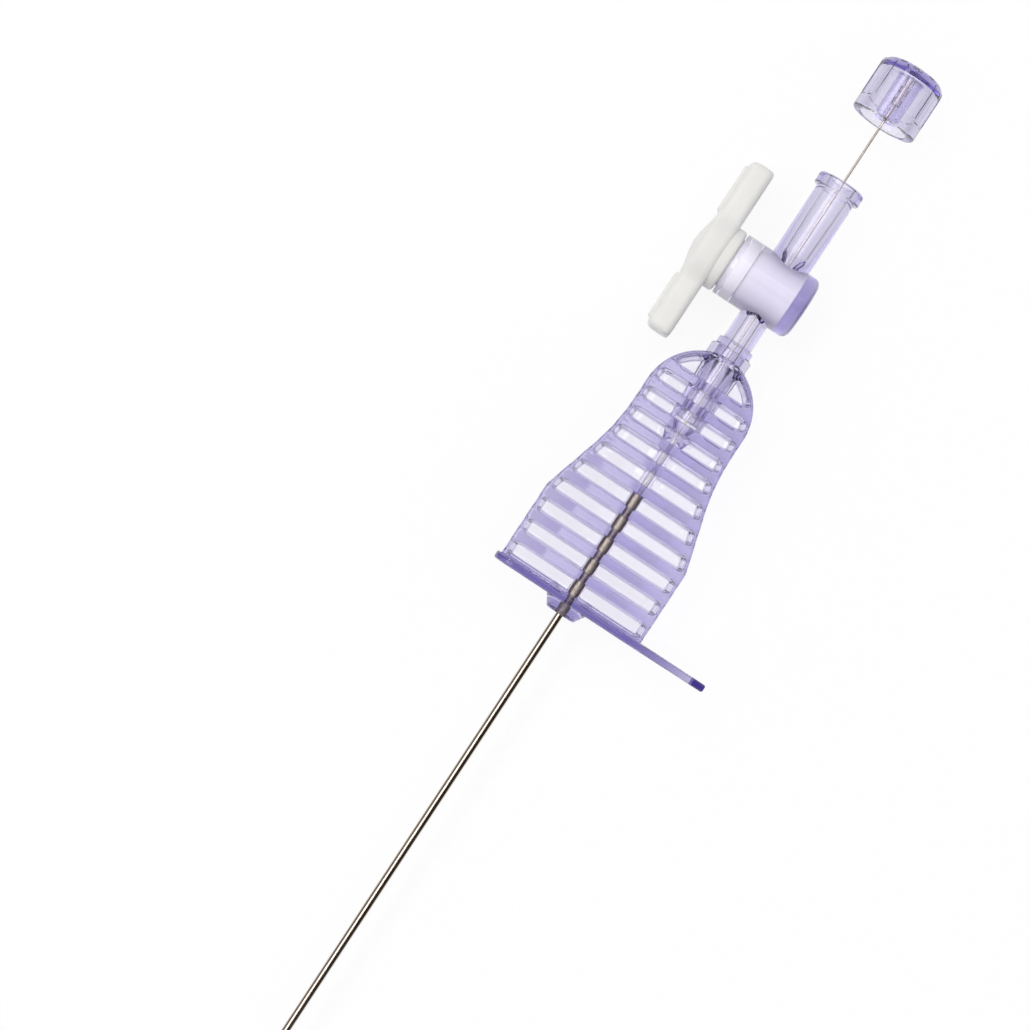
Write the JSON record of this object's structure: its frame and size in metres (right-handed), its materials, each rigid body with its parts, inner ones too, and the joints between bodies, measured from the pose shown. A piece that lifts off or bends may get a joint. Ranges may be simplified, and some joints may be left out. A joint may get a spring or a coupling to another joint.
{
  "type": "transseptal needle",
  "caption": "Long curved transseptal needle with a clear violet winged grip and pointer, a side tap with a luer inlet, and a stylet wire with a screw cap.",
  "frame": {"origin": "centre of the grip's end face, where the steel shaft leaves the grip", "axes": "+Y along the straight shaft towards the stylet's cap, +X towards the pointer and the curve of the tip, +Z out of the grip's upper broad face"},
  "size_m": [0.0753, 0.792, 0.016],
  "materials": {
    "violet_plastic": "clear moulded plastic tinted violet",
    "white_plastic": "opaque white, soft gloss",
    "shaft_steel": "ground and polished stainless tube",
    "wire_steel": "drawn stainless wire"
  },
  "bodies": {
    "needle": {"hub_grip": "violet_plastic", "needle_shaft": "shaft_steel", "tap_body": "violet_plastic"},
    "tap": {"tap_plug": "white_plastic"},
    "stylet": {"stylet_wire": "wire_steel"},
    "stylet_head": {"stylet_cap": "violet_plastic", "stylet_ferrule": "wire_steel"}
  },
  "joints": [
    {"name": "tap_turn", "type": "hinge", "parent": "needle", "child": "tap", "pos_m": [0, 0.06, 0], "axis": [1, 0, 0], "range_deg": [0, 90]},
    {"name": "stylet_slide", "type": "slide", "parent": "needle", "child": "stylet", "axis": [0, 1, 0], "range_m": [-0.0178, 0.8], "deforming": ["stylet_wire"]},
    {"name": "cap_turn", "type": "hinge", "parent": "stylet", "child": "stylet_head", "pos_m": [0, 0.0957, 0], "axis": [0, 1, 0], "continuous": true}
  ]
}
